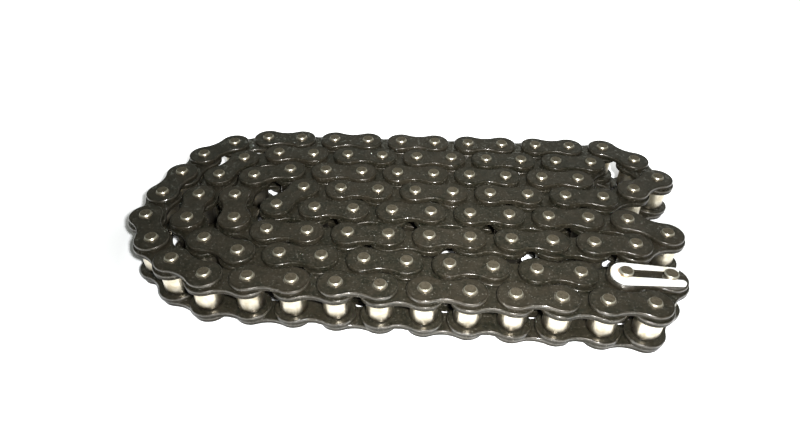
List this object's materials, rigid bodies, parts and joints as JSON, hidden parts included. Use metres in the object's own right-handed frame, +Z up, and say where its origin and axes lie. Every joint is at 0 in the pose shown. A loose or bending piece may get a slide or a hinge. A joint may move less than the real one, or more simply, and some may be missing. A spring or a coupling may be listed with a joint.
{
  "type": "roller drive chain",
  "caption": "Endless steel roller chain for a motorcycle: inner and outer links in turn, closed by a master link with a spring clip, folded into a flat coil on its side.",
  "frame": {"origin": "middle of the coil, on the surface that the lower pin ends rest on", "axes": "+X along the coil's length, towards the end with the master link; +Y from the front strand to the back strand; +Z up, along the pins"},
  "size_m": [0.2298, 0.1208, 0.0223],
  "materials": {
    "outer_plate": "black-brown oxide, oiled",
    "inner_plate": "black-brown oxide, oiled",
    "pin": "ground steel, oiled",
    "bushing": "ground steel, oiled",
    "roller": "polished, oiled",
    "clip": "bright nickel plate"
  },
  "bodies": {
    "coil": {"coil_outer_plates_upper": "outer_plate", "coil_outer_plates_lower": "outer_plate", "coil_pins": "pin", "coil_inner_plates_upper": "inner_plate", "coil_inner_plates_lower": "inner_plate", "coil_bushings": "bushing", "coil_rollers": "roller", "master_back_plate": "outer_plate", "master_pins": "pin", "master_cover_plate": "outer_plate"},
    "master_clip": {"master_clip": "clip"},
    "inner_link_8": {"inner_link_8_plates": "inner_plate", "inner_link_8_bushings": "bushing"},
    "inner_link_8_roller_a": {"inner_link_8_roller_a": "roller"},
    "inner_link_8_roller_b": {"inner_link_8_roller_b": "roller"},
    "inner_link_7": {"inner_link_7_plates": "inner_plate", "inner_link_7_bushings": "bushing"},
    "inner_link_7_roller_a": {"inner_link_7_roller_a": "roller"},
    "inner_link_7_roller_b": {"inner_link_7_roller_b": "roller"},
    "outer_link_7": {"outer_link_7_plates": "outer_plate", "outer_link_7_pins": "pin"},
    "inner_link_6": {"inner_link_6_plates": "inner_plate", "inner_link_6_bushings": "bushing"},
    "inner_link_6_roller_a": {"inner_link_6_roller_a": "roller"},
    "inner_link_6_roller_b": {"inner_link_6_roller_b": "roller"},
    "outer_link_6": {"outer_link_6_plates": "outer_plate", "outer_link_6_pins": "pin"},
    "inner_link_5": {"inner_link_5_plates": "inner_plate", "inner_link_5_bushings": "bushing"},
    "inner_link_5_roller_a": {"inner_link_5_roller_a": "roller"},
    "inner_link_5_roller_b": {"inner_link_5_roller_b": "roller"},
    "outer_link_5": {"outer_link_5_plates": "outer_plate", "outer_link_5_pins": "pin"},
    "inner_link_4": {"inner_link_4_plates": "inner_plate", "inner_link_4_bushings": "bushing"},
    "inner_link_4_roller_a": {"inner_link_4_roller_a": "roller"},
    "inner_link_4_roller_b": {"inner_link_4_roller_b": "roller"},
    "outer_link_4": {"outer_link_4_plates": "outer_plate", "outer_link_4_pins": "pin"},
    "inner_link_3": {"inner_link_3_plates": "inner_plate", "inner_link_3_bushings": "bushing"},
    "inner_link_3_roller_a": {"inner_link_3_roller_a": "roller"},
    "inner_link_3_roller_b": {"inner_link_3_roller_b": "roller"},
    "outer_link_3": {"outer_link_3_plates": "outer_plate", "outer_link_3_pins": "pin"},
    "inner_link_2": {"inner_link_2_plates": "inner_plate", "inner_link_2_bushings": "bushing"},
    "inner_link_2_roller_a": {"inner_link_2_roller_a": "roller"},
    "inner_link_2_roller_b": {"inner_link_2_roller_b": "roller"},
    "outer_link_2": {"outer_link_2_plates": "outer_plate", "outer_link_2_pins": "pin"},
    "inner_link_1": {"inner_link_1_plates": "inner_plate", "inner_link_1_bushings": "bushing", "master_pin_core": "pin"},
    "inner_link_1_roller_a": {"inner_link_1_roller_a": "roller"},
    "inner_link_1_roller_b": {"inner_link_1_roller_b": "roller"},
    "outer_link_1": {"outer_link_1_plates": "outer_plate", "outer_link_1_pins": "pin"}
  },
  "joints": [
    {"name": "inner_link_8_swing", "type": "hinge", "parent": "coil", "child": "inner_link_8", "pos_m": [-0.10582, 0.00722, 0.0104], "axis": [0, 0, -1], "range_deg": [0, 27.7]},
    {"name": "outer_link_7_swing", "type": "hinge", "parent": "inner_link_8", "child": "outer_link_7", "pos_m": [-0.10756, -0.00856, 0.0104], "axis": [0, 0, -1], "range_deg": [0, 27.7]},
    {"name": "inner_link_7_swing", "type": "hinge", "parent": "outer_link_7", "child": "inner_link_7", "pos_m": [-0.10073, -0.02289, 0.0104], "axis": [0, 0, -1], "range_deg": [0, 27.7]},
    {"name": "outer_link_6_swing", "type": "hinge", "parent": "inner_link_7", "child": "outer_link_6", "pos_m": [-0.0897, -0.03431, 0.0104], "axis": [0, 0, -1], "range_deg": [0, 27.7]},
    {"name": "inner_link_6_swing", "type": "hinge", "parent": "outer_link_6", "child": "inner_link_6", "pos_m": [-0.07582, -0.042, 0.0104], "axis": [0, 0, -1], "range_deg": [0, 27.7]},
    {"name": "outer_link_5_swing", "type": "hinge", "parent": "inner_link_6", "child": "outer_link_5", "pos_m": [-0.05998, -0.04311, 0.0104], "axis": [0, 0, -1], "range_deg": [0, 27.7]},
    {"name": "inner_link_5_swing", "type": "hinge", "parent": "outer_link_5", "child": "inner_link_5", "pos_m": [-0.04414, -0.04422, 0.0104], "axis": [0, 0, -1], "range_deg": [0, 27.7]},
    {"name": "outer_link_4_swing", "type": "hinge", "parent": "inner_link_5", "child": "outer_link_4", "pos_m": [-0.02831, -0.04532, 0.0104], "axis": [0, 0, -1], "range_deg": [0, 27.7]},
    {"name": "inner_link_4_swing", "type": "hinge", "parent": "outer_link_4", "child": "inner_link_4", "pos_m": [-0.01247, -0.04643, 0.0104], "axis": [0, 0, -1], "range_deg": [0, 27.7]},
    {"name": "outer_link_3_swing", "type": "hinge", "parent": "inner_link_4", "child": "outer_link_3", "pos_m": [0.00336, -0.04754, 0.0104], "axis": [0, 0, -1], "range_deg": [0, 27.7]},
    {"name": "inner_link_3_swing", "type": "hinge", "parent": "outer_link_3", "child": "inner_link_3", "pos_m": [0.0192, -0.04865, 0.0104], "axis": [0, 0, -1], "range_deg": [0, 27.7]},
    {"name": "outer_link_2_swing", "type": "hinge", "parent": "inner_link_3", "child": "outer_link_2", "pos_m": [0.03504, -0.04975, 0.0104], "axis": [0, 0, -1], "range_deg": [0, 27.7]},
    {"name": "inner_link_2_swing", "type": "hinge", "parent": "outer_link_2", "child": "inner_link_2", "pos_m": [0.05087, -0.05086, 0.0104], "axis": [0, 0, -1], "range_deg": [0, 27.7]},
    {"name": "outer_link_1_swing", "type": "hinge", "parent": "inner_link_2", "child": "outer_link_1", "pos_m": [0.06671, -0.05197, 0.0104], "axis": [0, 0, -1], "range_deg": [0, 27.7]},
    {"name": "inner_link_1_swing", "type": "hinge", "parent": "outer_link_1", "child": "inner_link_1", "pos_m": [0.08255, -0.05308, 0.0104], "axis": [0, 0, -1], "range_deg": [0, 85.7]},
    {"name": "master_clip_slide", "type": "slide", "parent": "coil", "child": "master_clip", "axis": [-0.9976, 0.0698, 0], "range_m": [0, 0.0072]},
    {"name": "inner_link_1_roller_a_spin", "type": "hinge", "parent": "inner_link_1", "child": "inner_link_1_roller_a", "pos_m": [0.09188, -0.04023, 0.0104], "axis": [0, 0, 1], "continuous": true},
    {"name": "inner_link_1_roller_b_spin", "type": "hinge", "parent": "inner_link_1", "child": "inner_link_1_roller_b", "pos_m": [0.08255, -0.05308, 0.0104], "axis": [0, 0, 1], "continuous": true},
    {"name": "inner_link_2_roller_a_spin", "type": "hinge", "parent": "inner_link_2", "child": "inner_link_2_roller_a", "pos_m": [0.06671, -0.05197, 0.0104], "axis": [0, 0, 1], "continuous": true},
    {"name": "inner_link_2_roller_b_spin", "type": "hinge", "parent": "inner_link_2", "child": "inner_link_2_roller_b", "pos_m": [0.05087, -0.05086, 0.0104], "axis": [0, 0, 1], "continuous": true},
    {"name": "inner_link_3_roller_a_spin", "type": "hinge", "parent": "inner_link_3", "child": "inner_link_3_roller_a", "pos_m": [0.03504, -0.04975, 0.0104], "axis": [0, 0, 1], "continuous": true},
    {"name": "inner_link_3_roller_b_spin", "type": "hinge", "parent": "inner_link_3", "child": "inner_link_3_roller_b", "pos_m": [0.0192, -0.04865, 0.0104], "axis": [0, 0, 1], "continuous": true},
    {"name": "inner_link_4_roller_a_spin", "type": "hinge", "parent": "inner_link_4", "child": "inner_link_4_roller_a", "pos_m": [0.00336, -0.04754, 0.0104], "axis": [0, 0, 1], "continuous": true},
    {"name": "inner_link_4_roller_b_spin", "type": "hinge", "parent": "inner_link_4", "child": "inner_link_4_roller_b", "pos_m": [-0.01247, -0.04643, 0.0104], "axis": [0, 0, 1], "continuous": true},
    {"name": "inner_link_5_roller_a_spin", "type": "hinge", "parent": "inner_link_5", "child": "inner_link_5_roller_a", "pos_m": [-0.02831, -0.04532, 0.0104], "axis": [0, 0, 1], "continuous": true},
    {"name": "inner_link_5_roller_b_spin", "type": "hinge", "parent": "inner_link_5", "child": "inner_link_5_roller_b", "pos_m": [-0.04414, -0.04422, 0.0104], "axis": [0, 0, 1], "continuous": true},
    {"name": "inner_link_6_roller_a_spin", "type": "hinge", "parent": "inner_link_6", "child": "inner_link_6_roller_a", "pos_m": [-0.05998, -0.04311, 0.0104], "axis": [0, 0, 1], "continuous": true},
    {"name": "inner_link_6_roller_b_spin", "type": "hinge", "parent": "inner_link_6", "child": "inner_link_6_roller_b", "pos_m": [-0.07582, -0.042, 0.0104], "axis": [0, 0, 1], "continuous": true},
    {"name": "inner_link_7_roller_a_spin", "type": "hinge", "parent": "inner_link_7", "child": "inner_link_7_roller_a", "pos_m": [-0.0897, -0.03431, 0.0104], "axis": [0, 0, 1], "continuous": true},
    {"name": "inner_link_7_roller_b_spin", "type": "hinge", "parent": "inner_link_7", "child": "inner_link_7_roller_b", "pos_m": [-0.10073, -0.02289, 0.0104], "axis": [0, 0, 1], "continuous": true},
    {"name": "inner_link_8_roller_a_spin", "type": "hinge", "parent": "inner_link_8", "child": "inner_link_8_roller_a", "pos_m": [-0.10756, -0.00856, 0.0104], "axis": [0, 0, 1], "continuous": true},
    {"name": "inner_link_8_roller_b_spin", "type": "hinge", "parent": "inner_link_8", "child": "inner_link_8_roller_b", "pos_m": [-0.10582, 0.00722, 0.0104], "axis": [0, 0, 1], "continuous": true}
  ]
}
